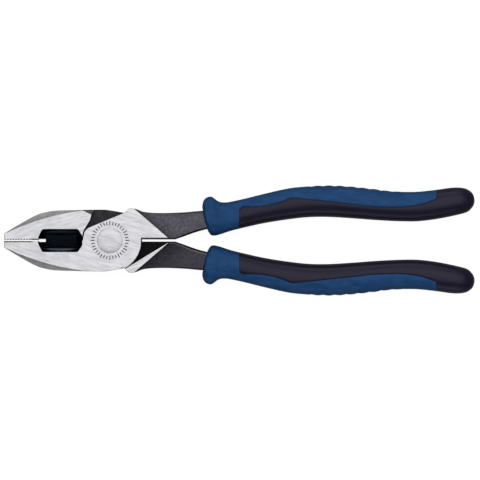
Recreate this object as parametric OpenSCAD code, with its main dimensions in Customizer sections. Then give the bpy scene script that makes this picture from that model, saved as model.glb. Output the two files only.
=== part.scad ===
// Lineman's pliers with a lap joint, a riveted pivot and two-material moulded grips.
// The tool lies flat. X runs from the nose (-X) to the handle ends (+X), Z is the pivot axis,
// and Z = 0 is the ground back face of the head. All sizes are in millimetres.

/* [Head] */
// Thickness of the head between its two ground faces
head_thickness = 16; // [15:0.5:18]
// Thickness of the jaws at the nose
nose_thickness = 12.4; // [11:0.2:14]
// Gap between the jaws while the knives are shut
jaw_gap = 0.6; // [0.4:0.1:0.8]
// Number of teeth in each jaw
tooth_count = 9; // [6:1:9]
// Length of one tooth along the jaw
tooth_pitch = 1.43; // [1.2:0.01:1.45]
// Depth of the teeth
tooth_depth = 0.5; // [0.3:0.1:0.8]
// Gap left between the two knife edges at rest
knife_gap = 0.1; // [0.1:0.05:0.3]
// Half the width of the cutter recess
recess_half_width = 6; // [5:0.5:6.5]
// Angle between a knife's ground bevel and the back face
knife_bevel = 48; // [40:1:55]

/* [Joint] */
// Radius of the rivet's shank
rivet_radius = 5; // [4:0.25:5.5]
// Radius of the rivet's countersunk ends
rivet_head_radius = 6.5; // [6:0.25:7]
// Running clearance between the rivet and the front half
rivet_clearance = 0.05; // [0.02:0.01:0.08]
// Gap between the two lapped faces
lap_gap = 0.2; // [0.1:0.05:0.4]
// Radius of the round side of each lap
lap_radius = 16.3; // [16:0.1:16.3]
// Distance from the pivot to the handle shoulder
shoulder_distance = 16.65; // [16.6:0.05:16.9]

/* [Handles] */
// Thickness of the bare handles behind the head
neck_thickness = 10; // [9:0.5:11]
// Thickness of the steel inside the grips
tang_thickness = 8; // [7:0.5:9]

/* [Grips] */
// Thickness of the grips
grip_thickness = 16; // [15:0.5:16]
// Width of the sloped edges of the grips
grip_edge = 3.6; // [3:0.2:4]
// Wall of the core between the steel and the outer cover
sleeve_wall = 1.2; // [0.8:0.1:1.4]

/* [Hidden] */
half_head = head_thickness / 2;
half_nose = nose_thickness / 2;
half_neck = neck_thickness / 2;
half_tang = tang_thickness / 2;
half_grip = grip_thickness / 2;
half_knife = knife_gap / 2;
nose_x = -54.9;
taper_x = -20;
jaw_y = jaw_gap / 2;
teeth_x = -53.6;
notch_x0 = -37.4;
notch_x1 = -33.9;
recess_x0 = -37.2;
recess_x1 = -14.25;
core_x = 67.2;
cover_end_x = 169.8;
far = 80;

steel_color = [0.84, 0.85, 0.86];
rivet_color = [0.78, 0.79, 0.8];
core_color = [0.07, 0.07, 0.08];
cover_color = [0.08, 0.2, 0.42];

// A smooth open curve through the points p, with n steps between neighbours.
function curve(p, n = 4) = [
  for (i = [0 : len(p) - 2], k = [0 : n - 1])
    curve_point(p[max(i - 1, 0)], p[i], p[i + 1], p[min(i + 2, len(p) - 1)], k / n),
  p[len(p) - 1]
];
function curve_point(a, b, c, d, t) =
  b + t * ((c - a) / 2 + t * ((2 * a - 5 * b + 4 * c - d) / 2 + t * (3 * b - a - 3 * c + d) / 2));

// Points on a circle about the pivot.
function arc(r, from, to, n = 12) = [
  for (k = [0 : n]) r * [cos(from + (to - from) * k / n), sin(from + (to - from) * k / n)]
];
function backwards(p) = [for (i = [len(p) - 1 : -1 : 0]) p[i]];
function raised(p, dy) = [for (q = p) [q.x, q.y + dy]];

// Half the thickness of the jaws at x.
function half_jaw(x) = x > taper_x
  ? half_head
  : half_nose + (half_head - half_nose) * (x - nose_x) / (taper_x - nose_x);

// Outer edge of the lower jaw, from the nose to the lap.
jaw_edge = curve([
  [nose_x, -3.6], [-50.8, -6.2], [-44.7, -9.8], [-38.6, -13.1], [-34, -14.6],
  [-28, -15.5], [-18, -15.8], [-9, -16], [-3, -16], [1, -15.5], [5.5, -14.7]
]);

// Inner edge of the slope along the lower jaw, where the ground face ends.
jaw_face_edge = [
  [-60, -2.2], [nose_x, -3.6], [-52, -4.8], [-47, -7], [-41.8, -8.9], [-36.6, -10.7],
  [-31.4, -12.2], [-26.2, -13.5], [-21, -14.5], [-15.8, -15.3], [-9, -16.1], [0, -17.5]
];

// Row of teeth in the lower jaw, from the nose backwards.
jaw_teeth = [
  for (i = [0 : tooth_count - 1])
    each [
      [teeth_x + i * tooth_pitch, -jaw_y],
      [teeth_x + (i + 0.5) * tooth_pitch, -jaw_y - tooth_depth],
      [teeth_x + (i + 1) * tooth_pitch - 0.02, -jaw_y]
    ]
];

// Outer and inner edges of the upper handle, from the head to the end of the tang.
neck_outer = curve([
  [6.8, 14.1], [8.4, 15.3], [9.7, 16.5], [11.4, 16.8], [13.6, 16.3], [17, 15], [21.9, 14.4],
  [30, 14.3], [39, 14.7], [47, 15.4], [60, 16.3], [77, 18.9], [95, 22.5], [110, 24],
  [126, 23.5], [146, 21.7], [165, 21.6], [180, 22.8]
], 3);
neck_inner = curve([
  [33.6, 0.55], [37, 1.7], [47, 5.1], [60, 8], [77, 11.6], [95, 15], [110, 16.6],
  [126, 16.2], [146, 14.3], [165, 14.4], [180, 16.8]
], 3);

// Whole outline of the front half: lower jaw, lap and upper handle.
half_outline = concat(
  jaw_edge,
  arc(lap_radius, -61, 2, 16),
  [[16.6, 0.55]],
  neck_inner,
  backwards(neck_outer),
  [[-10.2, 7], [-11.5, 6.3], [-12.6, 5.3], [-13.4, 3.7], [-13.9, 1.5], [-14, 0.3]],
  [[-14.2, -half_knife], [notch_x1, -half_knife], [notch_x1, -0.72], [notch_x0, -0.72]],
  [[notch_x0, -jaw_y]],
  backwards(jaw_teeth),
  [[nose_x, -jaw_y]]
);

// What the lap of the other half takes out of this half, below the lap plane.
shoulder_angle = 58.7;
function on_shoulder(t) = [
  shoulder_distance * cos(shoulder_angle) - t * sin(shoulder_angle),
  shoulder_distance * sin(shoulder_angle) + t * cos(shoulder_angle)
];
lap_outline = [
  [recess_x1, 20], [recess_x1, -3.1], [-13.5, -5.5], [-10.3, -10.7], [-9.6, -13.4],
  [-7.6, -17.5], [20, -17.5], [34, -2], on_shoulder(-28), on_shoulder(9)
];

// Front outline of the cutter recess.
recess_outline = [
  [recess_x0, 1.7], [-35.5, recess_half_width - 0.8], [-35, recess_half_width - 0.2],
  [-34.4, recess_half_width], [-17, recess_half_width], [-16.4, recess_half_width - 0.3],
  [-14.5, 2.9], [recess_x1, 2.2]
];

// Outlines of the upper grip.
grip_outer = curve([
  [47.7, 18.3], [48.1, 20.1], [49.4, 21.9], [51, 22.7], [52.8, 22.8], [55, 21.3], [57.6, 20],
  [61.4, 20.1], [67.7, 21.4], [80, 24.3], [92, 27], [101, 28.1], [113, 28.7], [124, 28.2], [136, 26.8],
  [146, 25.6], [158, 25.3], [168, 26.2], [177.9, 27.5], [184, 27.2], [187.7, 25.3]
], 3);
grip_inner = curve([
  [49.8, 6.4], [51.1, 4.3], [52.3, 3], [53.6, 2.5], [56.5, 2.9], [62.7, 5], [70, 6.8], [80, 9], [92, 10.9],
  [103, 12.1], [114, 12.2], [126, 11.5], [138, 10.6], [150, 10], [160, 10], [170, 11.2],
  [180, 13.2], [185.5, 14.8], [188, 17]
], 3);
grip_outline = concat(
  grip_outer,
  [[189, 23], [189.4, 20.6], [189, 18.4]],
  backwards(grip_inner),
  [[48.7, 12]]
);

// The sloped outer and inner edges start here, on the flat front of the grip.
grip_outer_rim = concat([[30, 17]], raised([
  [47.6, 22], [53, 22.4], [57.6, 20], [61.4, 20.1], [67.7, 21.4], [80, 24.3], [92, 27],
  [101, 28.1], [113, 28.7], [124, 28.2], [136, 26.8], [146, 25.6], [158, 25.3], [168, 26.2],
  [177.9, 27.5], [184, 27.2], [192, 23]
], -grip_edge));
grip_inner_rim = concat([[30, 6]], raised([
  [48.6, 4], [53.6, 2.5], [56.5, 2.9], [62.7, 5], [70, 6.8], [80, 9], [92, 10.9], [103, 12.1],
  [114, 12.2], [126, 11.5], [138, 10.6], [150, 10], [160, 10], [170, 11.2], [180, 13.2],
  [192, 17.5]
], grip_edge));

// Line between the outer cover and the black core, on the front of the upper grip.
cover_line = curve([
  [core_x, 17], [68.6, 17.8], [75, 17.7], [81, 18.2], [88, 19.8], [94.5, 22], [101, 21.7],
  [109, 20.8], [125, 18.9], [138, 17.5], [151, 17.4], [161, 18.7], [cover_end_x, 21.6]
], 3);

// Side view of a grip, as half thickness over x.
grip_side = curve([
  [47.2, half_grip - 3], [48.6, half_grip - 0.8], [52, half_grip], [58, half_grip - 1.2],
  [66, half_grip - 0.8], [90, half_grip - 0.1], [112, half_grip], [135, half_grip - 0.4],
  [155, half_grip - 0.6], [175, half_grip - 0.1], [183, half_grip - 0.6], [187.2, half_grip - 3],
  [189.4, 2]
], 3);

// A slab with the given outline that reaches past both faces of the tool.
module slab(outline) {
  linear_extrude(far, center = true) polygon(outline);
}

// The same slab turned so that the outline is a side view, with Z upright.
module side_slab(outline) {
  rotate([90, 0, 0]) linear_extrude(far, center = true) polygon(outline);
}

// Keeps a side profile given as half thickness over x.
module side_envelope(profile) {
  side_slab(concat(profile, [for (p = backwards(profile)) [p.x, -p.y]]));
}

// Everything beyond an edge that lies at height z. The wall leans outwards as it goes down.
// The side is 1 for an edge facing +Y and -1 for an edge facing -Y.
module beyond_edge(edge, z, lean, side) {
  a = side * lean;
  rotate([a, 0, 0]) linear_extrude(2 * far, center = true)
    polygon(concat(
      [for (p = edge) [p.x, p.y * cos(a) + z * sin(a)]],
      [[edge[len(edge) - 1].x, side * far], [edge[0].x, side * far]]
    ));
}

// Makes a cut on the front and the same cut on the back.
module front_and_back() {
  children();
  mirror([0, 0, 1]) children();
}

// Side profile of a steel half: tapered jaws with a rounded nose, then the thinner tang.
module steel_side() {
  side_envelope([
    [nose_x, half_nose - 2], [nose_x + 0.6, half_nose - 0.6], [nose_x + 2, half_jaw(nose_x + 2)],
    [taper_x, half_head], [44, half_head], [45, half_neck], [51, half_neck],
    [54, half_tang], [180, half_tang]
  ]);
}

// Scoop behind the ground face, down to the thinner handle.
module neck_scoop() {
  drop = half_head - half_neck;
  scoop_radius = drop / (1 - cos(27));
  rotate([0, 0, 49.2]) translate([20.7, 0, 0]) side_slab(concat(
    [[0, half_head + 5]],
    [for (k = [0 : 6]) [
      scoop_radius * (sin(27) - sin(27 - 4.5 * k)),
      half_neck + scoop_radius * (1 - cos(27 - 4.5 * k))
    ]],
    [[far, half_neck], [far, half_head + 5]]
  ));
}

// One forged half, about the middle plane of the tool, before the knife is ground.
module forged_half() {
  lean = 40;
  difference() {
    intersection() {
      slab(half_outline);
      steel_side();
    }
    translate([0, 0, lap_gap / 2 - far]) linear_extrude(far) polygon(lap_outline);
    front_and_back() {
      neck_scoop();
      beyond_edge(
        [for (p = jaw_face_edge) [p.x, p.y + (half_head - half_jaw(p.x)) * tan(lean)]],
        half_head, lean, -1
      );
      // Slim chamfer along the biting edge of the jaw
      beyond_edge(
        [for (x = [nose_x - 1, notch_x0]) [x, -jaw_y - 0.55 - half_head + half_jaw(x)]],
        half_head, 45, 1
      );
      // Edges of the bare handle
      beyond_edge([[22, 20], [33, 14.8], [40, 13.7], [47, 14.3], [52.5, 14.7]], half_neck, 45, 1);
      beyond_edge([[28, -2], [34, 1.2], [38, 3.2], [47, 6.3], [52.5, 7.4]], half_neck, 45, -1);
    }
    // Chamfered edge of the ground face next to the other handle
    beyond_edge([[16.4, 1.5], [34, 1.5]], half_head, 45, -1);
    shoulder_slope();
  }
}

// Steep slope on the outer corner of the jaw's rear shoulder, below the lap plane only.
module shoulder_slope() {
  intersection() {
    translate([-9.4, -13.3, -half_head]) rotate([0, 0, -64.7]) rotate([0, 20.8, 0])
      translate([0, -10, -10]) cube([10, 20, 30]);
    translate([-20, -20, lap_gap / 2 - far]) cube([20, 20, far]);
  }
}

// Space cut out of both halves for the cutter, open at the front.
module recess() {
  mid = half_head;
  edge_z = 0.9 - mid;
  flat_y = recess_half_width - 1.6;
  flat_z = edge_z + flat_y * tan(knife_bevel);
  intersection() {
    slab(concat(recess_outline, [for (p = backwards(recess_outline)) [p.x, -p.y]]));
    rotate([90, 0, 90]) linear_extrude(far, center = true) polygon(concat(
      [[-recess_half_width, mid + 1]],
      [for (k = [0 : 4]) [
        -recess_half_width + 1.6 * pow(k / 4, 2),
        flat_z + 4 * pow(1 - k / 4, 2)
      ]],
      [[0, edge_z]],
      [for (k = [4 : -1 : 0]) [
        recess_half_width - 1.6 * pow(k / 4, 2),
        flat_z + 4 * pow(1 - k / 4, 2)
      ]],
      [[recess_half_width, mid + 1]]
    ));
    side_slab([
      [recess_x0 - 0.1, mid + 1], [recess_x0 + 2.2, -mid], [recess_x1, -mid], [recess_x1, mid + 1]
    ]);
  }
}

// Solid of revolution that fills the rivet hole, grown by the given clearance.
module rivet_solid(grow) {
  top = half_head;
  sink = rivet_head_radius - rivet_radius;
  rotate_extrude($fn = 96) polygon([
    [0, -top], [rivet_head_radius + grow, -top], [rivet_radius + grow, sink - top],
    [rivet_radius + grow, top - sink], [rivet_head_radius + grow, top], [0, top]
  ]);
}

module to_front() {
  translate([0, 0, half_head]) children();
}

module to_back() {
  translate([0, 0, half_head]) rotate([180, 0, 0]) children();
}

// Grip pieces, about the middle plane, for the upper handle.
module grip_body() {
  difference() {
    intersection() {
      slab(grip_outline);
      side_envelope(grip_side);
    }
    front_and_back() {
      beyond_edge(grip_outer_rim, half_grip, 45, 1);
      beyond_edge(grip_inner_rim, half_grip, 45, -1);
    }
  }
}

// Plain sleeve of the core, between the steel and the cover.
module sleeve() {
  translate([0, 0, -half_tang - sleeve_wall]) linear_extrude(tang_thickness + 2 * sleeve_wall)
    polygon(concat(
      [for (p = neck_outer) if (p.x > core_x && p.x < cover_end_x + 4) [p.x, p.y + sleeve_wall]],
      [for (p = backwards(neck_inner)) if (p.x > core_x && p.x < cover_end_x + 4) [p.x, p.y - 0.4]]
    ));
}

module core_zone() {
  slab(concat(cover_line, [[cover_end_x, 40], [200, 40], [200, 0], [core_x, 0]]));
}

module grip_core() {
  difference() {
    union() {
      intersection() {
        grip_body();
        core_zone();
      }
      sleeve();
    }
    forged_half();
  }
}

module grip_cover() {
  difference() {
    grip_body();
    core_zone();
    sleeve();
    forged_half();
  }
}

module front_half() {
  color(steel_color) to_front() difference() {
    forged_half();
    recess();
    rivet_solid(rivet_clearance);
  }
}

module rear_half() {
  color(steel_color) difference() {
    to_back() forged_half();
    to_front() recess();
    to_front() rivet_solid(0);
  }
}

module pivot_rivet() {
  color(rivet_color) to_front() rivet_solid(0);
}

module upper_grip_core() {
  color(core_color) to_front() grip_core();
}

module upper_grip_cover() {
  color(cover_color) to_front() grip_cover();
}

module lower_grip_core() {
  color(core_color) to_back() grip_core();
}

module lower_grip_cover() {
  color(cover_color) to_back() grip_cover();
}

front_half();
rear_half();
pivot_rivet();
upper_grip_core();
upper_grip_cover();
lower_grip_core();
lower_grip_cover();
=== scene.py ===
import math

import bmesh
import bpy
import numpy as np
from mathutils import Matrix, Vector
from mathutils.geometry import delaunay_2d_cdt


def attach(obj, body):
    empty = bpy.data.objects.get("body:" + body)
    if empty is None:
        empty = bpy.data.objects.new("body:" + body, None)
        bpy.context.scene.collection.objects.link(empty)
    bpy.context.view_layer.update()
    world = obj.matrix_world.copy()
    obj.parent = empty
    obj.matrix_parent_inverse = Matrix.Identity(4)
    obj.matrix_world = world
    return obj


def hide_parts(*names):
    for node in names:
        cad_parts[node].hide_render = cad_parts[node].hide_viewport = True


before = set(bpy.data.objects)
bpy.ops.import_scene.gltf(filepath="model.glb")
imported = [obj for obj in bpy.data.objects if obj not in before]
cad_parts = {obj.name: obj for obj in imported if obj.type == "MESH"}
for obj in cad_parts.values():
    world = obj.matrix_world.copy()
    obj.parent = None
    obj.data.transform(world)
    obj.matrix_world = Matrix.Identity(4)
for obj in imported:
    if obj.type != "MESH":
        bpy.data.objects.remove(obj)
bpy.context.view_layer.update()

MM = 0.001

# Every piece is made about the tool's middle plane, as the front half or the upper grip, and is
# then lifted or turned over into its place. Lengths are in millimetres and angles in degrees,
# unless a comment says otherwise.

# ------------------------------------------------------------------ sizes of a steel half

HALF_HEAD = 8.0
HALF_NOSE = 6.2
HALF_NECK = 5.0
HALF_TANG = 4.0
NOSE_X = -54.9
TAPER_X = -20.0
NOSE_ROUND = 0.35
JAW_Y = 0.3
KNIFE_Y = 0.0002
# Width of the bevel that the teeth run out in, on the side where they aren't notched.
BITE_EDGE = 0.6
TEETH_X = -53.6
TOOTH_PITCH = 1.43
TOOTH_DEPTH = 0.28
TOOTH_COUNT = 9
TEETH_END = TEETH_X + TOOTH_COUNT * TOOTH_PITCH
# The separate notches at the roots: half width of the outline and of the floor, reach, depth.
ROOT_OUTLINE = 0.36
ROOT_FLOOR = 0.34
ROOT_REACH = 0.95
ROOT_DEPTH = 0.35
# The slot between the teeth and the knife: both ends, and how far it reaches.
NOTCH = (-37.4, -33.9, 0.72)
# The cutter recess: both ends, and how far it reaches.
RECESS = (-37.2, -14.25, 6.0)
# Where the knife ends and the lug begins.
KNIFE_END = -14.1
LAP_Z = 0.1
LAP_RADIUS = 16.3
# The shoulder and the rim of the ground face: distance from the pivot and direction.
SHOULDER = (16.65, 58.7)
RIM = (20.7, 49.2)
# Behind the rim the surface scoops down to the neck, and at the collar it drops to the tang.
SCOOP_ANGLE = 27.0
TANG_START = 51
TANG_DROP = 3
# The sloped flank of the jaw: how steep it is, and where it ends behind the pivot.
FLANK_SLOPE = 1.19
FLANK_END = 4
# Width of the slope beside the straight gap between the necks.
GAP_SLOPE = 1.5
RIVET_R = 6.5
EDGE_ROUND = 0.2
TOOTH_ROUND = 0.05
# The neck's edge bevel: where it runs along the handle, its slope, and the width of the strip of
# painted highlight beside it.
BEVEL_SPAN = (21.5, 60)
BEVEL_SLOPE = 1.6
HIGHLIGHT_WIDTH = 0.5
# The struck ticks: inner end, outer end, outer end of every third one, width and depth.
TICK_IN = 8
TICK_OUT = 9.7
TICK_LONG = 10.1
TICK_WIDTH = 0.5
TICK_DEPTH = 0.2
# Points of the plan keep this far from its drawn lines.
CLEAR = 0.025


def curve(points, n):
    """A smooth open curve through the points, with n steps between neighbours."""
    p = np.array(points, float)
    out = []
    for i in range(len(p) - 1):
        a, b, c, d = p[max(i - 1, 0)], p[i], p[i + 1], p[min(i + 2, len(p) - 1)]
        for t in np.arange(n) / n:
            out.append(
                b
                + t
                * (
                    (c - a) / 2
                    + t * ((2 * a - 5 * b + 4 * c - d) / 2 + t * (3 * b - a - 3 * c + d) / 2)
                )
            )
    out.append(p[-1])
    return np.array(out)


def arc(r, start, stop, n):
    """n points on a circle about the pivot, from one direction to another."""
    a = np.radians(np.linspace(start, stop, n))
    return np.stack([r * np.cos(a), r * np.sin(a)], 1)


def split(path, step, closed=False):
    """The same path with its long stretches cut into steps."""
    p = np.array(path, float)
    ends = np.roll(p, -1, 0) if closed else p[1:]
    out = []
    for a, b in zip(p, ends):
        n = max(1, math.ceil(np.linalg.norm(b - a) / step))
        out += [a + (b - a) * k / n for k in range(n)]
    if not closed:
        out.append(p[-1])
    return np.array(out)


# ------------------------------------------------------------------ outlines of one steel half

# In plan: the outer edge of the jaw, the limit of its ground face, both edges of the handle,
# and the corner of the lug beside the knife.
JAW_EDGE = curve(
    [
        (NOSE_X, -3.6), (-50.8, -6.2), (-44.7, -9.8), (-38.6, -13.1), (-34, -14.6),
        (-28, -15.5), (-18, -15.8), (-9, -16), (-3, -16), (1, -15.5), (5.5, -14.7),
    ],
    10,
)
FACE_EDGE = curve(
    [
        (-60, -2.2), (NOSE_X, -3.6), (-52, -4.8), (-47, -7), (-41.8, -8.9), (-36.6, -10.7),
        (-31.4, -12.2), (-26.2, -13.5), (-21, -14.5), (-15.8, -15.3), (-9, -16.1), (0, -17.5),
    ],
    8,
)
NECK_OUTER = curve(
    [
        (6.8, 14.1), (8.4, 15.3), (9.7, 16.5), (11.4, 16.8), (13.6, 16.3), (17, 15),
        (21.9, 14.4), (30, 14.3), (39, 14.7), (47, 15.4), (60, 16.3), (77, 18.9),
        (95, 22.5), (110, 24), (126, 23.5), (146, 21.7), (165, 21.6), (180, 22.8),
    ],
    8,
)
NECK_INNER = curve(
    [
        (33.6, 0.55), (37, 1.7), (47, 5.1), (60, 8), (77, 11.6), (95, 15), (110, 16.6),
        (126, 16.2), (146, 14.3), (165, 14.4), (180, 16.8),
    ],
    8,
)
INNER_EDGE = np.concatenate([split([(21, 0.55), (33, 0.55)], 0.6), NECK_INNER])
LUG_CORNER = curve(
    [(-10.2, 7), (-11.5, 6.3), (-12.6, 5.3), (-13.4, 3.7), (-13.9, 1.5), (-14, 0.3)], 4
)


def teeth():
    """The zigzag of the jaw's edge, from the slot to the nose."""
    out = []
    for i in reversed(range(TOOTH_COUNT)):
        x = TEETH_X + i * TOOTH_PITCH
        out += [
            (x + TOOTH_PITCH - 0.02, -JAW_Y),
            (x + TOOTH_PITCH / 2, -JAW_Y - TOOTH_DEPTH),
            (x, -JAW_Y),
        ]
    return out


# The whole half in plan, anticlockwise from the nose.
OUTLINE = np.concatenate(
    [
        split(JAW_EDGE, 0.6),
        arc(LAP_RADIUS, -61, 2, 60),
        [(16.6, 0.55)],
        split([(17.2, 0.55), (33, 0.55)], 0.6),
        NECK_INNER,
        NECK_OUTER[::-1],
        split([(6.2, 13.85), (-9.6, 7.25)], 0.6),
        LUG_CORNER,
        split([(-14.2, -KNIFE_Y), (NOTCH[1], -KNIFE_Y)], 0.6),
        [(NOTCH[1], -NOTCH[2]), (NOTCH[0], -NOTCH[2]), (NOTCH[0], -JAW_Y)],
        teeth(),
        [(NOSE_X, -JAW_Y)],
        split([(NOSE_X, -0.8), (NOSE_X, -3.2)], 0.6),
    ]
)


def tooth_root(k, half):
    """Outline of the notch at the root of a tooth, seen from the front."""
    x = TEETH_X + (k + 0.5) * TOOTH_PITCH
    low = -ROOT_REACH
    return [(x - half, 0), (x + half, 0), (x + half - 0.08, low), (x - half + 0.08, low)]


def on_shoulder(t):
    """The point at distance t along the line of the shoulder."""
    a = math.radians(SHOULDER[1])
    return (
        SHOULDER[0] * math.cos(a) - t * math.sin(a),
        SHOULDER[0] * math.sin(a) + t * math.cos(a),
    )


# The area where the half is cut away down to its lap face.
LAP = [
    (RECESS[1], 20), (RECESS[1], -3.1), (-13.5, -5.5), (-10.3, -10.7), (-9.6, -13.4),
    (-7.6, -17.5), (20, -17.5), (34, -2), on_shoulder(-28), on_shoulder(9),
]
# The outline of the cutter recess.
WINDOW = np.concatenate(
    [
        [(RECESS[0], 1.7), (-35.5, 5.2), (-35, 5.8), (-34.4, 6), (-17, 6), (-16.4, 5.7)],
        [(-14.5, 2.9), (RECESS[1], 2.2)],
        [(RECESS[1], -2.2), (-14.5, -2.9)],
        [(-16.4, -5.7), (-17, -6), (-34.4, -6), (-35, -5.8), (-35.5, -5.2), (RECESS[0], -1.7)],
    ]
)
# Half of the recess's section: the knife's bevel, a shelf and the wall, as y and z.
RECESS_SIDE = curve(
    [
        (0, -7.1), (2, -4.88), (3, -3.95), (3.6, -3.52), (4.2, -3.22), (4.8, -3.03),
        (5.25, -2.88), (5.55, -2.5), (5.85, -1), (6, 0.2), (6.7, 5.5),
    ],
    6,
)
# The steep slope on the jaw's rear corner: a point on its edge, the directions down it and along
# it, and the distance in plan over which it drops by half the head.
SLOPE_POINT = np.array((-9.4, -13.3))
SLOPE_OUT = np.array((0.4274, -0.904))
SLOPE_ALONG = np.array((0.904, 0.4274))
SLOPE_RUN = 3.04


def rim_line():
    """Ends of the line where the ground face gives way to the handle."""
    a = math.radians(RIM[1])
    out, along = np.array((math.cos(a), math.sin(a))), np.array((-math.sin(a), math.cos(a)))
    middle = RIM[0] * out
    return [middle - 24.5 * along, middle + 20 * along]


def neck_bevel(x):
    """Width of the bevel along the neck's edges."""
    return np.interp(x, [20, 27, 38, 44], [0, 0.3, 0.85, 0.95])


def bevel_line(path, side, wider=0.0):
    """The inner limit of the neck's bevel along one of its edges, or a line further in."""
    p = path[(path[:, 0] > BEVEL_SPAN[0]) & (path[:, 0] < BEVEL_SPAN[1])]
    slope = np.gradient(p[:, 1], p[:, 0])
    inward = np.stack([-slope, np.ones(len(p))], 1) / np.sqrt(1 + slope**2)[:, None] * side
    return p + inward * (neck_bevel(p[:, 0]) + wider)[:, None]


def beyond_rim(p):
    """Distance of each point past the rim of the ground face, towards the handle."""
    a = math.radians(RIM[1])
    return p[:, 0] * math.cos(a) + p[:, 1] * math.sin(a) - RIM[0]


def tick(angle, r0, r1, width):
    """Outline of one plain struck mark that points away from the rivet."""
    a = math.radians(angle)
    out, side = np.array((math.cos(a), math.sin(a))), np.array((-math.sin(a), math.cos(a)))
    w = side * width / 2
    return [out * r0 - w, out * r1 - w, out * r1 + w, out * r0 + w]


TICKS = [
    tick(a, TICK_IN, TICK_OUT if a % 30 else TICK_LONG, TICK_WIDTH) for a in range(0, 360, 10)
]


# ------------------------------------------------------------------ heights of one steel half


def inside(p, polygon):
    """Whether each point lies inside the polygon."""
    x, y = p[:, 0][:, None], p[:, 1][:, None]
    a = np.array(polygon, float)
    b = np.roll(a, -1, 0)
    crosses = (a[:, 1] > y) != (b[:, 1] > y)
    with np.errstate(divide="ignore", invalid="ignore"):
        at = (b[:, 0] - a[:, 0]) * (y - a[:, 1]) / (b[:, 1] - a[:, 1]) + a[:, 0]
    return (np.sum(crosses & (x < at), 1) % 2) == 1


def away(p, path, closed=False):
    """Distance of each point from a path."""
    a = np.array(path, float)
    b = np.roll(a, -1, 0) if closed else a[1:]
    a = a if closed else a[:-1]
    best = np.full(len(p), 1e9)
    for k in range(0, len(a), 64):
        s, d = a[k : k + 64], (b - a)[k : k + 64]
        t = np.einsum("nmk,mk->nm", p[:, None] - s, d) / np.maximum((d * d).sum(1), 1e-12)
        near = s + np.clip(t, 0, 1)[..., None] * d
        best = np.minimum(best, np.sqrt(((p[:, None] - near) ** 2).sum(2)).min(1))
    return best


def round_off(d, r):
    """How far a rounded edge of radius r has dropped at distance d from the wall."""
    k = np.clip(r - d, 0, r)
    return r - np.sqrt(np.maximum(r * r - k * k, 0))


def ground_z(x):
    """Height of the ground face, which tapers towards the nose."""
    t = np.clip((x - NOSE_X) / (TAPER_X - NOSE_X), 0, 1)
    return HALF_NOSE + (HALF_HEAD - HALF_NOSE) * t


def face_height(p, edge, notched):
    """Height of the outer surface above the middle plane. The teeth run out in a bevel along the
    jaw, or in separate notches."""
    x, y = p[:, 0], p[:, 1]
    z = ground_z(x)
    z = z - round_off(x - NOSE_X, NOSE_ROUND)
    past = np.interp(x, FACE_EDGE[:, 0], FACE_EDGE[:, 1]) - y
    z = z - np.where((x < FLANK_END) & (past > 0), past * FLANK_SLOPE, 0)
    toothed = x < TEETH_END
    bite = np.where(x < NOTCH[0] + 0.01, JAW_Y + BITE_EDGE + y, 0)
    if notched:
        root = np.zeros(len(p), bool)
        for k in range(TOOTH_COUNT):
            root |= inside(p, tooth_root(k, ROOT_FLOOR)) & (y > 0.02 - ROOT_REACH)
        z = z - np.where(toothed, root * ROOT_DEPTH, np.clip(bite, 0, BITE_EDGE))
    else:
        z = z - np.clip(bite * toothed, 0, BITE_EDGE)
    drop = HALF_HEAD - HALF_NECK
    radius = drop / (1 - math.cos(math.radians(SCOOP_ANGLE)))
    u = beyond_rim(p)
    far = radius * math.sin(math.radians(SCOOP_ANGLE)) - np.clip(u, 0, 99)
    scoop = HALF_NECK + radius - np.sqrt(radius**2 - np.clip(far, 0, None) ** 2)
    tang = HALF_NECK + (HALF_TANG - HALF_NECK) * np.clip((x - TANG_START) / TANG_DROP, 0, 1)
    tang = np.where(x > TANG_START - 1, tang, HALF_HEAD + 1)
    z = np.where(u > 0, np.minimum(z, np.minimum(scoop, tang)), z)
    slim = np.clip(GAP_SLOPE - y, 0, 1) * np.clip((x - 16.4) / 0.8, 0, 1)
    z = np.where((x > 16) & (x < 36), np.minimum(z, HALF_HEAD - slim), z)
    bevel = neck_bevel(x) * (u > 0)
    z = z - np.clip(bevel - edge, 0, None) * BEVEL_SLOPE
    return z - round_off(edge, np.where((x < NOTCH[0]) & (y > -1.3), TOOTH_ROUND, EDGE_ROUND))


def painted_shade(p, edge):
    """Painted shade on the oxide, from 0 to 1: darker just past the rim of the ground face, towards
    the neck's edges, and on the flank next to the ground face.
    """
    x, y, u = p[:, 0], p[:, 1], beyond_rim(p)
    neck = 1 - 0.85 * np.exp(-np.clip(u, 0, 99) / 0.8) - 0.4 * np.exp(-edge / 1.2)
    past = np.interp(x, FACE_EDGE[:, 0], FACE_EDGE[:, 1]) - y
    flank = 1 - 0.55 * np.exp(-np.clip(past, 0, 99) / 0.5)
    flank = np.where((x < FLANK_END) & (past > -0.01), flank, 1)
    return np.clip(np.where(u > -0.01, neck, flank), 0, 1)


def recess_height(p):
    """Height of the cutter's floor: bevels that meet at the back, dished shelves, sloping ends."""
    x, a = p[:, 0], np.abs(p[:, 1])
    # The dish is the squared distance from the recess's middle. It moves the shelf's edge
    # outwards and raises the floor.
    dish = (x - (RECESS[0] + RECESS[1]) / 2) ** 2
    z = np.interp(a + 0.01 * dish, RECESS_SIDE[:, 0], RECESS_SIDE[:, 1])
    z = z + 0.02 * dish * np.clip((a - 1.5) / 2.5, 0, 1)
    nose_end = 7.4 - (x - RECESS[0]) * 3.8
    pivot_end = 3.0 - (RECESS[1] - x) * 2.6
    return np.minimum(np.maximum(z, np.maximum(nose_end, pivot_end)), 7.0)


# ------------------------------------------------------------------ meshes

# The finishes of a steel half, in the order of its material slots.
GROUND, FLANK, HANDLE, LAP_FACE, CUTTER, STRUCK, SHADED_BITE, FACET_AND_HIGHLIGHT, SHADED_BEVEL = range(9)
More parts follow.
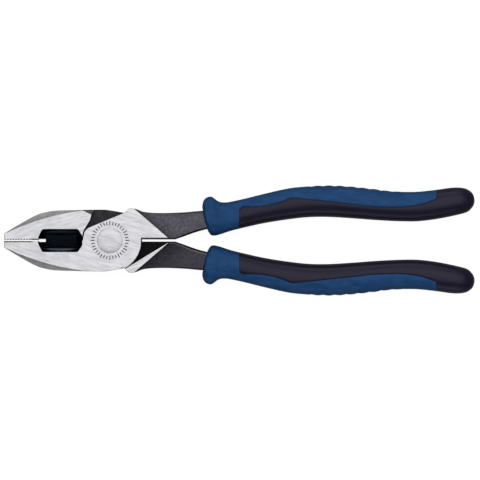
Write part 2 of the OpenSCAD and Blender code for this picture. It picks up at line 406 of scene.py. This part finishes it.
# What lies under or over a point of the plan: the outer surface, the recess, the lap, a struck
# mark or the rivet's hole.
OUTER, SUNK, LAPPED, MARK, HOLE = range(5)
CREASE = 35
SOFT_CREASE = 55


def finish_mesh(bm, name, crease=CREASE):
    """Turns faces outwards, keeps edges crisp where they bend by more than crease degrees or
    where two finishes meet at an angle, and makes the object. The cutter's dished floor has
    softer bends, which stay smooth."""
    bmesh.ops.recalc_face_normals(bm, faces=bm.faces)
    bm.normal_update()
    for f in bm.faces:
        f.smooth = True
    for e in bm.edges:
        if len(e.link_faces) == 2:
            a, b = e.link_faces
            bent = math.degrees(a.normal.angle(b.normal, 0))
            limit = crease if a.material_index != CUTTER else SOFT_CREASE
            e.smooth = not (bent > limit or (a.material_index != b.material_index and bent > 4))
    mesh = bpy.data.meshes.new(name)
    bm.to_mesh(mesh)
    bm.free()
    piece = bpy.data.objects.new(name, mesh)
    bpy.context.collection.objects.link(piece)
    return piece


# ------------------------------------------------------------------ mesh of one steel half


def plan_points():
    """Points that carry the surface between the outlines: a wide grid, finer grids in the recess
    and at its nose end, and rows along every edge."""
    lo, hi = OUTLINE.min(0), OUTLINE.max(0)
    step = 0.8
    gx, gy = np.meshgrid(np.arange(lo[0], hi[0], step), np.arange(lo[1], hi[1], step))
    gx = gx + (np.round((gy - lo[1]) / step) % 2) * step / 2
    grid = np.stack([gx.ravel(), gy.ravel()], 1)
    grid = grid[(grid[:, 0] < 75) | (np.arange(len(grid)) % 3 == 0)]
    across = np.concatenate([np.arange(-5.95, -4.9, 0.12), np.arange(-4.8, 0, 0.3)])
    fine_x, fine_y = np.meshgrid(np.arange(RECESS[0], RECESS[1], 0.45), across)
    fine = np.stack([fine_x.ravel(), fine_y.ravel()], 1)
    ends_x, ends_y = np.meshgrid(np.arange(-37.1, -34.6, 0.15), np.arange(-6, 0, 0.3))
    ends = np.stack([ends_x.ravel(), ends_y.ravel()], 1)
    edge = np.roll(OUTLINE, -1, 0) - np.roll(OUTLINE, 1, 0)
    inward = np.stack([-edge[:, 1], edge[:, 0]], 1) / np.linalg.norm(edge, axis=1)[:, None]
    rows = [OUTLINE + inward * d for d in (0.03, 0.08, 0.14, EDGE_ROUND, 0.28, 0.7)]
    nose_x, nose_y = np.meshgrid(NOSE_X + np.array([0.08, 0.2, 0.35]), np.arange(-4, -0.5, 0.4))
    nose = np.stack([nose_x.ravel(), nose_y.ravel()], 1)
    p = np.concatenate([grid, fine, ends, nose, *rows])
    return p[inside(p, OUTLINE)]


def build_half(name, recess_in_front):
    """One half, with its own lap underneath. The other half is this one turned over."""
    hole = arc(RIVET_R + 0.04, 0, 360, 97)[:-1]
    loops = [OUTLINE, split(LAP, 1.0, True), split(WINDOW, 0.6, True), hole] + TICKS
    loops += [split(tooth_root(k, ROOT_OUTLINE), 0.4, True) for k in range(TOOTH_COUNT)]
    lines = [
        split(rim_line(), 0.8),
        FACE_EDGE[FACE_EDGE[:, 0] > -57],
        split([(-56, -JAW_Y - BITE_EDGE), (NOTCH[0], -JAW_Y - BITE_EDGE)], 0.6),
        split([(16, GAP_SLOPE), (34, GAP_SLOPE)], 0.6),
        split([SLOPE_POINT - 7 * SLOPE_ALONG, SLOPE_POINT + (0.5, 0.24)], 0.6),
        bevel_line(INNER_EDGE, 1),
        bevel_line(INNER_EDGE, 1, HIGHLIGHT_WIDTH),
        bevel_line(NECK_OUTER, -1),
    ]
    free = plan_points()
    for path in loops:
        free = free[away(free, path, True) > CLEAR]
    for path in lines:
        free = free[away(free, path) > CLEAR]
    points, edges = [tuple(q) for q in free], []
    for path, closed in [(q, True) for q in loops] + [(q, False) for q in lines]:
        first = len(points)
        points += [tuple(q) for q in path]
        edges += [(first + k, first + k + 1) for k in range(len(path) - 1)]
        if closed:
            edges.append((first + len(path) - 1, first))
    done = delaunay_2d_cdt(points, edges, [], 0, 1e-5)
    p = np.array([tuple(q) for q in done[0]])
    tris = np.array(done[2])
    a, b, c = p[tris[:, 0]], p[tris[:, 1]], p[tris[:, 2]]
    area = (b - a)[:, 0] * (c - a)[:, 1] - (b - a)[:, 1] * (c - a)[:, 0]
    tris[area < 0] = tris[area < 0][:, ::-1]
    middle = (a + b + c) / 3
    keep = inside(middle, OUTLINE) & (np.abs(area) > 1e-9)
    tris, middle = tris[keep], middle[keep]

    in_window, in_lap = inside(middle, WINDOW), inside(middle, LAP)
    in_hole = inside(middle, hole)
    in_mark = np.zeros(len(tris), bool)
    for t in TICKS:
        in_mark |= inside(middle, t)
    recess, plain = np.where(in_window, SUNK, OUTER), np.full(len(tris), OUTER)
    top = np.where(in_mark, MARK, recess if recess_in_front else plain)
    bottom = np.where(in_lap, LAPPED, plain if recess_in_front else recess)
    top[in_hole] = bottom[in_hole] = HOLE

    edge = away(p, OUTLINE, True)
    edge[edge < 1e-4] = 0
    outer, notched = face_height(p, edge, False), face_height(p, edge, True)
    floor = recess_height(p)
    slope = -HALF_HEAD + ((p - SLOPE_POINT) @ SLOPE_OUT) * HALF_HEAD / SLOPE_RUN
    under = np.where((p[:, 0] < -4) & (p[:, 1] < -10), np.maximum(-outer, slope), -notched)
    under = np.minimum(under, LAP_Z - 0.1)
    heights = {
        ("top", OUTER): outer,
        ("top", SUNK): np.minimum(floor, outer - 0.05),
        ("top", MARK): outer - TICK_DEPTH,
        ("bottom", OUTER): under,
        ("bottom", SUNK): np.maximum(-floor, under + 0.05),
        ("bottom", LAPPED): np.full(len(p), LAP_Z),
    }

    def finish_of(q, kind, side):
        """Material of a face of the outer surface, from where it lies in plan."""
        if kind == SUNK:
            return CUTTER
        if kind == LAPPED:
            return LAP_FACE
        if kind == MARK:
            return STRUCK
        if beyond_rim(q[None])[0] > 0:
            inward = away(q[None], INNER_EDGE)[0]
            bevel = neck_bevel(q[0])
            if not BEVEL_SPAN[0] < q[0] < BEVEL_SPAN[1] or inward > bevel + HIGHLIGHT_WIDTH:
                return HANDLE
            # The neck's inner bevel is painted shade; on the rear half a strip of painted highlight
            # runs beside it.
            return SHADED_BEVEL if inward < bevel else FACET_AND_HIGHLIGHT if side == "bottom" else HANDLE
        if q[0] < FLANK_END and q[1] < np.interp(q[0], FACE_EDGE[:, 0], FACE_EDGE[:, 1]):
            return FLANK
        if 16 < q[0] < 34 and q[1] < GAP_SLOPE:
            return HANDLE
        # Painted shade: the teeth's bevel on the front half, and the tooth roots and the edge before
        # the slot on the rear half.
        if q[0] < NOTCH[0] and q[1] > (-JAW_Y - BITE_EDGE if side == "top" else -ROOT_REACH):
            toothed = q[0] < TEETH_END
            if side == "top":
                return SHADED_BITE if toothed else GROUND
            root = [inside(q[None], tooth_root(k, ROOT_OUTLINE))[0] for k in range(TOOTH_COUNT)]
            return SHADED_BITE if any(root) or not toothed else GROUND
        # The rear half's sloped facet takes the same lighter finish as the strip of painted
        # highlight.
        if side == "bottom" and q[0] < 0 and (q - SLOPE_POINT) @ SLOPE_OUT > 0:
            return FACET_AND_HIGHLIGHT
        return GROUND

    # Painted shade at every point of the plan.
    painted_shades = painted_shade(p, edge)
    bm = bmesh.new()
    layer = bm.verts.layers.float.new("painted_shade")
    made = {}

    def vertex(side, kind, i):
        """The vertex of point i on one surface, made the first time it is asked for."""
        key = (side, kind, i)
        if key not in made:
            x, y = p[i]
            made[key] = bm.verts.new((x * MM, y * MM, heights[side, kind][i] * MM))
            # The painted shade of each vertex; on the lap face the painted shade deepens towards +X.
            made[key][layer] = np.interp(x, [0, 12], [1, 0.05]) if kind == LAPPED else painted_shades[i]
        return made[key]

    def face(verts, finish):
        """A face of one finish, unless its corners coincide or it is there already."""
        unique = list(dict.fromkeys(verts))
        if len(unique) < 3:
            return
        try:
            f = bm.faces.new(unique)
        except ValueError:
            return
        f.material_index = finish

    # Which triangle lies on the left of each directed edge.
    beside = {}
    for t, (i, j, k) in enumerate(tris):
        if top[t] != HOLE:
            face([vertex("top", top[t], q) for q in (i, j, k)], finish_of(middle[t], top[t], "top"))
            face(
                [vertex("bottom", bottom[t], q) for q in (k, j, i)],
                finish_of(middle[t], bottom[t], "bottom"),
            )
        for e in ((i, j), (j, k), (k, i)):
            beside[e] = t

    # All the vertices above and below each point of the plan.
    columns = {}
    for (_, _, i), v in made.items():
        columns.setdefault(i, []).append(v)

    def column(i, start, stop):
        """Vertices above one point of the plan, from one height to another."""
        low, high = sorted((start.co.z, stop.co.z))
        between = [v for v in columns[i] if low < v.co.z < high]
        between.sort(key=lambda v: v.co.z, reverse=start.co.z > stop.co.z)
        return [start, *between, stop]

    def wall_finish(q, cutter):
        """Finish of the outer wall at a point of the plan."""
        if cutter:
            return CUTTER
        if beyond_rim(q[None])[0] > 0 or q[1] > 0.3:
            return HANDLE
        r = np.linalg.norm(q)
        return HANDLE if r < 17.2 and q[0] > KNIFE_END and (q[0] > 5 or r < 15) else FLANK

    for (i, j), t in beside.items():
        other = beside.get((j, i))
        q = (p[i] + p[j]) / 2
        open_side = other is None or top[other] == HOLE
        if top[t] == HOLE:
            continue
        if open_side:
            in_cut = inside(q[None], WINDOW)[0] or (NOTCH[0] < q[0] < KNIFE_END and q[1] > -1)
            down = column(i, vertex("top", top[t], i), vertex("bottom", bottom[t], i))
            up = column(j, vertex("bottom", bottom[t], j), vertex("top", top[t], j))
            face(down + up, wall_finish(q, in_cut))
            continue
        if i > j:
            continue
        for side, kinds in (("top", top), ("bottom", bottom)):
            if kinds[t] == kinds[other]:
                continue
            pair = {kinds[t], kinds[other]}
            finish = CUTTER if SUNK in pair else STRUCK if MARK in pair else HANDLE
            there = column(j, vertex(side, kinds[t], j), vertex(side, kinds[other], j))
            back = column(i, vertex(side, kinds[other], i), vertex(side, kinds[t], i))
            face(there + back, finish)

    return finish_mesh(bm, name)


# ------------------------------------------------------------------ grips

# The upper grip: its outer and inner edges in plan, half its thickness along X, and the line
# where the cover meets the core.
GRIP_OUTER = curve(
    [
        (47.4, 18.3), (47.8, 19.6), (48.6, 21), (49.8, 22.2), (51.3, 22.8), (52.8, 22.7),
        (54.2, 21.8), (55.8, 20.6), (57.6, 19.95), (60, 19.85), (62.6, 20.2), (69.9, 21.8),
        (80, 24.3), (92, 27), (101, 28), (113, 28.52), (124, 28.05), (136, 26.8), (146, 25.6),
        (158, 25.3), (168, 26.2),
        (177.9, 27.5), (184, 27.2), (187.6, 25.3), (189, 23), (189.4, 20.6),
    ],
    12,
)
GRIP_INNER = curve(
    [
        (49.9, 6.4), (51.1, 4.3), (52.2, 2.95), (53.5, 2.5), (56.5, 3), (62.7, 5), (70, 6.8),
        (80, 9), (92, 10.9),
        (103, 12.1), (114, 12.2), (126, 11.5), (138, 10.6), (150, 10), (160, 10),
        (170, 11.2), (180, 13.2), (185.5, 14.8), (188, 17), (189, 18.7), (189.4, 20.6),
    ],
    12,
)
GRIP_HALF = curve(
    [
        (47, 7.6), (52.5, 8), (58, 6.9), (66, 7.2), (90, 7.9), (112, 8), (135, 7.6),
        (155, 7.4), (175, 7.9), (181, 7.8), (185, 6.9), (187.6, 5.2), (189, 2.9), (189.4, 0.2),
    ],
    12,
)
SEAM = curve(
    [
        (66, 17), (68.6, 17.8), (75, 17.7), (81, 18.2), (88, 19.8), (93.4, 22), (95.5, 22.3),
        (101, 21.6), (109, 20.7), (125, 18.9), (138, 17.5), (151, 17.4), (161, 18.7),
        (168, 21.2), (172, 22.6),
    ],
    10,
)
# Where the core comes into view, how round that corner is, and where the cover ends.
CORE_X = 66.9
CORE_CORNER = 2.4
COVER_END = 169.6
# The collar: where its mouth is, how round its edge is and how far it leans.
COLLAR_X = 47.5
COLLAR_ROUND = 1.5
COLLAR_LEAN = 2.5
# Thickness of the cover, and the power of the rounded section's curve.
SKIN = 1.7
SECTION_POWER = 2.25
# The ribs on the outer edge: centre of the first, pitch and count.
RIBS = (107.6, 6.0, 8)
RIB_HEIGHT = 0.34


def at(path, x):
    """The path's second coordinate where its first is x."""
    return np.interp(x, path[:, 0], path[:, 1])


def lean(s):
    """How much further along X the inner edge lies than the outer edge, at station s."""
    return COLLAR_LEAN * (1 - np.clip((s - COLLAR_X) / 27, 0, 1)) ** 1.6


def section(s, angle, inset, shrink):
    """A point of the grip's surface at station s, as x, y, z. Angle 0 is the outer edge. Inset is
    the depth of an inner wall and shrink that of a rolled edge, which keeps the ribs."""
    xi = s + lean(s)
    inner = np.array((xi, at(GRIP_INNER, xi)))
    outer = np.array((s, at(GRIP_OUTER, s)))
    middle, half = (inner + outer) / 2, np.linalg.norm(outer - inner) / 2
    along = (outer - inner) / max(2 * half, 1e-6)
    c, q = math.cos(angle), math.sin(angle)
    k = 2 / SECTION_POWER
    thick = at(GRIP_HALF, s)
    w, t = max(half - inset - shrink, 0), max(thick - inset - shrink, 0)
    side = math.copysign(abs(c) ** k, c) * w
    up = math.copysign(abs(q) ** k, q) * t
    rib = 0.0
    if inset == 0 and abs(angle) < 1.2:
        first, pitch, count = RIBS
        if first - pitch < s < first + pitch * count:
            fade = min(1, (s - first + pitch) / 3, (first + pitch * count - s) / 14)
            wave = 0.5 + 0.5 * math.cos(2 * math.pi * (s - first) / pitch)
            rib = RIB_HEIGHT * (wave**0.6 - 0.6) * fade * math.cos(angle / 1.2 * math.pi / 2) ** 0.5
    x, y = middle + along * (side + rib)
    return x, y, up


def seam_angle(s):
    """Angle at which the cover meets the core at station s. Pi means cover all round."""
    low, high = at(GRIP_INNER, s + lean(s)), at(GRIP_OUTER, s)
    round_x = CORE_CORNER - np.clip(s - CORE_X, 0, CORE_CORNER)
    y = at(SEAM, s) - CORE_CORNER + math.sqrt(CORE_CORNER**2 - round_x**2)
    ratio = np.clip((y - (low + high) / 2) / ((high - low) / 2), -0.98, 0.98)
    free = math.acos(math.copysign(abs(ratio) ** (SECTION_POWER / 2), ratio))
    start = np.clip((s - CORE_X + 0.7) / 0.9, 0, 1)
    start = start * start * (3 - 2 * start)
    stop = np.clip((COVER_END + 0.8 - s) / 1.6, 0, 1)
    stop = stop * stop * (3 - 2 * stop)
    return (math.pi + (free - math.pi) * start) * stop


# Where the grip's rings lie: closer together at the collar, the seam's ends, the ribs and the tip.
STATIONS = np.unique(
    np.round(
        np.concatenate(
            [
                COLLAR_X + COLLAR_ROUND * (1 - np.cos(np.linspace(0, math.pi / 2, 9))),
                np.arange(49.1, 60, 0.3), np.arange(60, CORE_X - 1.2, 0.7),
                np.arange(CORE_X - 1.2, CORE_X + 2.6, 0.12), np.arange(70, 100, 0.9),
                np.arange(100, 151, 0.36), np.arange(151, COVER_END - 1.2, 0.9),
                np.arange(COVER_END - 1.2, COVER_END + 1.2, 0.12), np.arange(171, 184, 0.6),
                189.3 - 5.3 * np.cos(np.linspace(0, math.pi / 2, 18)[1:]) ** 1.2,
            ]
        ),
        3,
    )
)
ARC_STEPS = 44


def ring_angles(start, stop, steps):
    """Angles between two seams, closer together at both ends."""
    t = np.linspace(0, 1, steps + 1)
    edge = min(0.06 / max(abs(stop - start), 0.1), 0.2)
    t = np.concatenate([[0, edge * 0.4, edge], t[2:-2], [1 - edge, 1 - edge * 0.4, 1]])
    return start + (stop - start) * t


def seam_dip(count):
    """How deep the surface rolls in at the two edges of an arc of points."""
    dip = np.zeros(count)
    dip[[0, -1]], dip[[1, -2]], dip[[2, -3]] = 0.3, 0.11, 0.03
    return dip


def collar_inset(s):
    """How far the collar's mouth has rounded in at station s."""
    return float(round_off(np.array([s - COLLAR_X]), COLLAR_ROUND)[0])


def grip_painted_shade(s, angle):
    """Painted shade on the plastic, from 0 to 1: darker at the collar's mouth and towards both sides.
    """
    mouth = 0.95 * math.exp(-(s - COLLAR_X) / 0.6)
    inner = 0.8 * max(0.0, (abs(angle) - 2.0) / 1.14) ** 1.5
    outer = 0.3 * max(0.0, 1 - abs(angle) / 0.8)
    return max(0.0, 1 - mouth) * (1 - inner) * (1 - outer)


def join_rings(bm, rings):
    """Faces between each closed ring and the next one."""
    for a, b in zip(rings, rings[1:]):
        for k in range(len(a)):
            m = (k + 1) % len(a)
            f = list(dict.fromkeys([a[k], a[m], b[m], b[k]]))
            if len(f) > 2:
                bm.faces.new(f)


def build_grip(name, is_cover):
    """The cover, or the core under it, of the upper grip."""
    bm = bmesh.new()
    layer = bm.verts.layers.float.new("painted_shade")
    rows = []
    for s in STATIONS:
        turn = seam_angle(s)
        if is_cover:
            if turn < 0.02:
                break
            angles = ring_angles(-turn, turn, ARC_STEPS)
            dips = seam_dip(len(angles)) * (1 if turn < math.pi - 0.02 else 0)
            inset = collar_inset(s)
            face = [section(s, a, 0, inset + d) for a, d in zip(angles, dips)]
            back = [section(s, a, SKIN, 0) for a in angles[::-1]]
        else:
            if turn > math.pi - 0.02:
                continue
            angles = ring_angles(turn, 2 * math.pi - turn, ARC_STEPS)
            dips = seam_dip(len(angles)) * (1 if turn > 0.02 else 0)
            face = [section(s, a, 0, d) for a, d in zip(angles, dips)]
            depth = SKIN * min(1, turn / 0.4)
            back = [section(s, a, depth, 0) for a in ring_angles(-turn, turn, ARC_STEPS)]
        loop = [bm.verts.new((x * MM, y * MM, z * MM)) for x, y, z in face + back]
        for v, a in zip(loop, angles):
            # Each vertex carries the grip's painted shade.
            v[layer] = grip_painted_shade(s, min(a, 2 * math.pi - a))
        rows.append(loop)
    join_rings(bm, rows)
    for row in (rows[0], rows[-1]):
        middle = bm.verts.new(sum((v.co for v in row), row[0].co * 0) / len(row))
        for k in range(len(row)):
            bm.faces.new([row[k], row[(k + 1) % len(row)], middle])
    bmesh.ops.remove_doubles(bm, verts=bm.verts, dist=2e-6)
    return finish_mesh(bm, name, SOFT_CREASE)


def build_rivet(name):
    """The rivet, turned from a profile of radius and height. Its front end is 0.02 proud."""
    bm = bmesh.new()
    profile = [
        (0, HALF_HEAD + 0.02), (3, HALF_HEAD + 0.02), (6.3, HALF_HEAD + 0.015),
        (6.42, HALF_HEAD - 0.03), (6.47, HALF_HEAD - 0.12), (5.0, HALF_HEAD - 1.6),
        (5.0, 0), (5.0, 1.6 - HALF_HEAD), (6.47, 0.12 - HALF_HEAD), (6.42, 0.03 - HALF_HEAD),
        (6.3, -HALF_HEAD), (0, -HALF_HEAD),
    ]
    rings = []
    for r, z in profile:
        if r == 0:
            rings.append([bm.verts.new((0, 0, z * MM))] * 96)
        else:
            rings.append([bm.verts.new((x * MM, y * MM, z * MM)) for x, y in arc(r, 0, 360, 97)[:-1]])
    join_rings(bm, rings)
    return finish_mesh(bm, name)


# ------------------------------------------------------------------ materials


def material(name):
    """A new material with its nodes, its links and its shader."""
    m = bpy.data.materials.new(name)
    m.use_nodes = True
    nodes, links = m.node_tree.nodes, m.node_tree.links
    return m, nodes, links, nodes["Principled BSDF"]


def noise(nodes, links, scale, detail, stretch=1.0, angle=0.0):
    """A noise that can be drawn out into streaks at an angle from X, in degrees."""
    place = nodes.new("ShaderNodeTexCoord")
    turn = nodes.new("ShaderNodeMapping")
    turn.vector_type = "TEXTURE"
    turn.inputs["Rotation"].default_value = (0, 0, math.radians(angle))
    turn.inputs["Scale"].default_value = (stretch, 1, 1)
    links.new(place.outputs["Object"], turn.inputs["Vector"])
    n = nodes.new("ShaderNodeTexNoise")
    n.inputs["Scale"].default_value = scale
    n.inputs["Detail"].default_value = detail
    n.inputs["Roughness"].default_value = 0.6
    links.new(turn.outputs["Vector"], n.inputs["Vector"])
    return n.outputs["Fac"]


def ramp(nodes, links, source, stops):
    """A value turned into a colour, by two stops of position and colour."""
    r = nodes.new("ShaderNodeValToRGB")
    for e, (position, colour) in zip(r.color_ramp.elements, stops):
        e.position = position
        e.color = (*colour, 1)
    links.new(source, r.inputs["Fac"])
    return r.outputs["Color"]


def spread(nodes, links, source, low, high):
    """A value from 0 to 1 spread over another range."""
    m = nodes.new("ShaderNodeMapRange")
    m.inputs["To Min"].default_value, m.inputs["To Max"].default_value = low, high
    links.new(source, m.inputs["Value"])
    return m.outputs["Result"]


def bump(nodes, links, shader, source, strength, distance):
    """Fine relief from a noise, with its distance in metres."""
    b = nodes.new("ShaderNodeBump")
    b.inputs["Strength"].default_value = strength
    b.inputs["Distance"].default_value = distance
    links.new(source, b.inputs["Height"])
    links.new(b.outputs["Normal"], shader.inputs["Normal"])


def brushed(name, dark, light, rough, angle):
    """Ground steel: long fine scratches over broader, fainter ones."""
    m, nodes, links, shader = material(name)
    cloud = noise(nodes, links, 900, 5.0, 7, angle)
    scratch = noise(nodes, links, 4200, 3.0, 18, angle)
    both = nodes.new("ShaderNodeMix")
    both.inputs["Factor"].default_value = 0.45
    links.new(cloud, both.inputs["A"])
    links.new(scratch, both.inputs["B"])
    colour = ramp(nodes, links, both.outputs["Result"], [(0.41, dark), (0.58, light)])
    links.new(colour, shader.inputs["Base Color"])
    links.new(spread(nodes, links, scratch, rough[0], rough[1]), shader.inputs["Roughness"])
    shader.inputs["Metallic"].default_value = 1.0
    bump(nodes, links, shader, scratch, 0.25, 0.00002)
    return m


def dim(nodes, links, shader, colour, dark):
    """Paints shade into the colour: blends it towards the dark one where the painted shade attribute
    is low.
    """
    attribute = nodes.new("ShaderNodeAttribute")
    attribute.attribute_name = "painted_shade"
    blend = nodes.new("ShaderNodeMix")
    blend.data_type = "RGBA"
    blend.inputs["A"].default_value = (*dark, 1)
    links.new(attribute.outputs["Fac"], blend.inputs["Factor"])
    links.new(colour, blend.inputs["B"])
    links.new(blend.outputs["Result"], shader.inputs["Base Color"])


def oxide(name, dark, light, rough, metallic, grain=520, pits=0.5, sheen=0.5, tint=(1, 1, 1)):
    """Blackened or scaled steel: mottled, finely pitted, and darkened by painted shade where the
    painted shade attribute is low.
    """
    m, nodes, links, shader = material(name)
    cloud = noise(nodes, links, grain, 5.0)
    colour = ramp(nodes, links, cloud, [(0.32, dark), (0.68, light)])
    dim(nodes, links, shader, colour, [c * 0.25 for c in dark])
    links.new(spread(nodes, links, cloud, rough[0], rough[1]), shader.inputs["Roughness"])
    shader.inputs["Metallic"].default_value = metallic
    shader.inputs["Specular IOR Level"].default_value = sheen
    shader.inputs["Specular Tint"].default_value = (*tint, 1)
    bump(nodes, links, shader, noise(nodes, links, grain * 5, 3.0), pits, 0.00003)
    return m


def plastic(name, dark, light, rough, sheen, tint=(1, 1, 1)):
    """Moulded grip: nearly even colour, a fine satin texture from the mould, and painted shade where
    the painted shade attribute is low.
    """
    m, nodes, links, shader = material(name)
    cloud = noise(nodes, links, 330, 5.0, 2.5)
    colour = ramp(nodes, links, cloud, [(0.35, dark), (0.65, light)])
    dim(nodes, links, shader, colour, [c * 0.15 for c in dark])
    links.new(spread(nodes, links, cloud, rough[0], rough[1]), shader.inputs["Roughness"])
    shader.inputs["Specular IOR Level"].default_value = sheen
    shader.inputs["Specular Tint"].default_value = (*tint, 1)
    bump(nodes, links, shader, noise(nodes, links, 2600, 2.0), 0.2, 0.00004)
    return m


# The ground faces are brushed at this angle to X, the front half one way and the rear the other.
BRUSH_ANGLE = 16


def steel_finishes(handle_dark, handle_light, angle):
    """The materials of one half, in the order of the finishes."""
    return [
        brushed("ground steel", (0.51, 0.51, 0.53), (0.70, 0.70, 0.73), (0.36, 0.50), angle),
        oxide("forged flank", (0.49, 0.49, 0.50), (0.71, 0.71, 0.72), (0.45, 0.60), 0.7),
        oxide("oxide handle", handle_dark, handle_light, (0.40, 0.54), 0.6, 800, 0.7),
        oxide(
            "lapped face", (0.018, 0.018, 0.022), (0.042, 0.041, 0.050), (0.35, 0.5), 0.7,
            300, 0.5, 0.1,
        ),
        oxide(
            "cutter recess", (0.0006, 0.0008, 0.0024), (0.0014, 0.0018, 0.004), (0.18, 0.26), 0.0,
            300, 0.3, 0.8, (0.66, 0.8, 1),
        ),
        oxide("struck mark", (0.05, 0.05, 0.052), (0.10, 0.10, 0.104), (0.5, 0.6), 0.8, 900),
        # Painted shade on the biting edge and in the tooth roots.
        oxide("biting edge", (0.02, 0.02, 0.024), (0.04, 0.04, 0.045), (0.4, 0.5), 0.6, 900),
        # Painted highlight on the strip beside the rear neck's bevel; also the tone of the rear
        # half's sloped facet.
        oxide("facet and highlight", (0.13, 0.12, 0.15), (0.22, 0.21, 0.25), (0.45, 0.55), 0.6, 900),
        # Painted shade on the neck's inner bevel.
        oxide(
            "shaded bevel", (0.003, 0.003, 0.004), (0.008, 0.008, 0.01), (0.5, 0.6), 0.2,
            900, 0.4, 0.1,
        ),
    ]


RIVET = brushed("rivet steel", (0.50, 0.50, 0.52), (0.67, 0.67, 0.70), (0.37, 0.51), -BRUSH_ANGLE)
BLUE = plastic("blue cover", (0.006, 0.054, 0.170), (0.014, 0.082, 0.240), (0.46, 0.56), 0.18)
BLACK = plastic(
    "black core", (0.005, 0.003, 0.015), (0.009, 0.006, 0.023), (0.34, 0.42), 0.34, (0.79, 0.8, 1)
)


# ------------------------------------------------------------------ the pliers

FRONT_NECK = ((0.050, 0.047, 0.060), (0.128, 0.122, 0.150))
# The rear neck is the same oxide as the front one with painted shade, so its colours are darker.
REAR_NECK_SHADED = ((0.022, 0.021, 0.029), (0.063, 0.060, 0.081))


def lift(piece):
    """Front pieces: from the middle plane up to the tool's frame."""
    for v in piece.data.vertices:
        v.co.z += HALF_HEAD * MM


def turn_over(piece):
    """Rear pieces: half a turn about X, then up to the tool's frame."""
    for v in piece.data.vertices:
        v.co.y, v.co.z = -v.co.y, HALF_HEAD * MM - v.co.z


def hand_over(piece, place, looks, body, node):
    """Moves a piece to its place, gives it its materials and ties it to the frame."""
    place(piece)
    for look in looks:
        piece.data.materials.append(look)
    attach(piece, body)
    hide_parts(node)


front = build_half("front_half_steel", True)
looks = steel_finishes(*FRONT_NECK, -BRUSH_ANGLE)
hand_over(front, lift, looks, "front", "front_half")

rear = build_half("rear_half_steel", False)
looks = steel_finishes(*REAR_NECK_SHADED, BRUSH_ANGLE)
hand_over(rear, turn_over, looks, "rear", "rear_half")

rivet = build_rivet("pivot_rivet_steel")
hand_over(rivet, lift, [RIVET], "rear", "pivot_rivet")

for which, place, body in (("upper", lift, "front"), ("lower", turn_over, "rear")):
    for part, is_cover, look, slot in (
        ("core", False, BLACK, "grip_black"),
        ("cover", True, BLUE, "grip_blue"),
    ):
        piece = build_grip(f"{which}_{part}", is_cover)
        hand_over(piece, place, [look], body, f"{which}_grip_{part}")

# ------------------------------------------------------------------ floor, light and camera

# The point that the camera looks straight down at, and how much of the scene it takes in.
CENTRE = (67.4 * MM, 0.26 * MM)
VIEW_WIDTH = 249.6 * MM
LENS = 300.0
SENSOR = 36

bpy.ops.mesh.primitive_plane_add(size=8, location=(CENTRE[0], 0, -0.0002))
floor = bpy.context.object
floor.name = "floor"
floor.visible_glossy = False
floor.visible_diffuse = False
white, _, _, shader = material("floor")
shader.inputs["Base Color"].default_value = (0.15, 0.15, 0.15, 1)
shader.inputs["Roughness"].default_value = 0.9
shader.inputs["Emission Color"].default_value = (1, 1, 1, 1)
shader.inputs["Emission Strength"].default_value = 0.94
floor.data.materials.append(white)

world = bpy.data.worlds.new("studio")
world.use_nodes = True
world.node_tree.nodes["Background"].inputs["Color"].default_value = (1, 1, 1, 1)
world.node_tree.nodes["Background"].inputs["Strength"].default_value = 0.22
bpy.context.scene.world = world


def soft_light(name, location, size, radiance):
    """A square softbox, aimed at the pliers, as bright as its radiance says."""
    data = bpy.data.lights.new(name, "AREA")
    data.shape, data.size = "SQUARE", size
    data.energy = radiance * math.pi * size**2
    lamp = bpy.data.objects.new(name, data)
    lamp.location = location
    aim = Vector((CENTRE[0], 0, 0)) - lamp.location
    lamp.rotation_mode = "QUATERNION"
    lamp.rotation_quaternion = aim.to_track_quat("-Z", "Y")
    bpy.context.collection.objects.link(lamp)


soft_light("overhead", (CENTRE[0], 0.7, 2.6), 3.4, 1.25)
soft_light("back", (CENTRE[0], 2.6, 0.75), 1.4, 1.5)
soft_light("front", (CENTRE[0], -2.6, 0.55), 1.2, 1.3)

camera = bpy.data.objects.new("camera", bpy.data.cameras.new("camera"))
camera.data.lens = LENS
camera.data.sensor_width = SENSOR
camera.data.clip_end = 50
camera.location = (*CENTRE, HALF_HEAD * MM + VIEW_WIDTH * LENS / SENSOR)
bpy.context.collection.objects.link(camera)
bpy.context.scene.camera = camera
bpy.context.scene.view_settings.view_transform = "Standard"
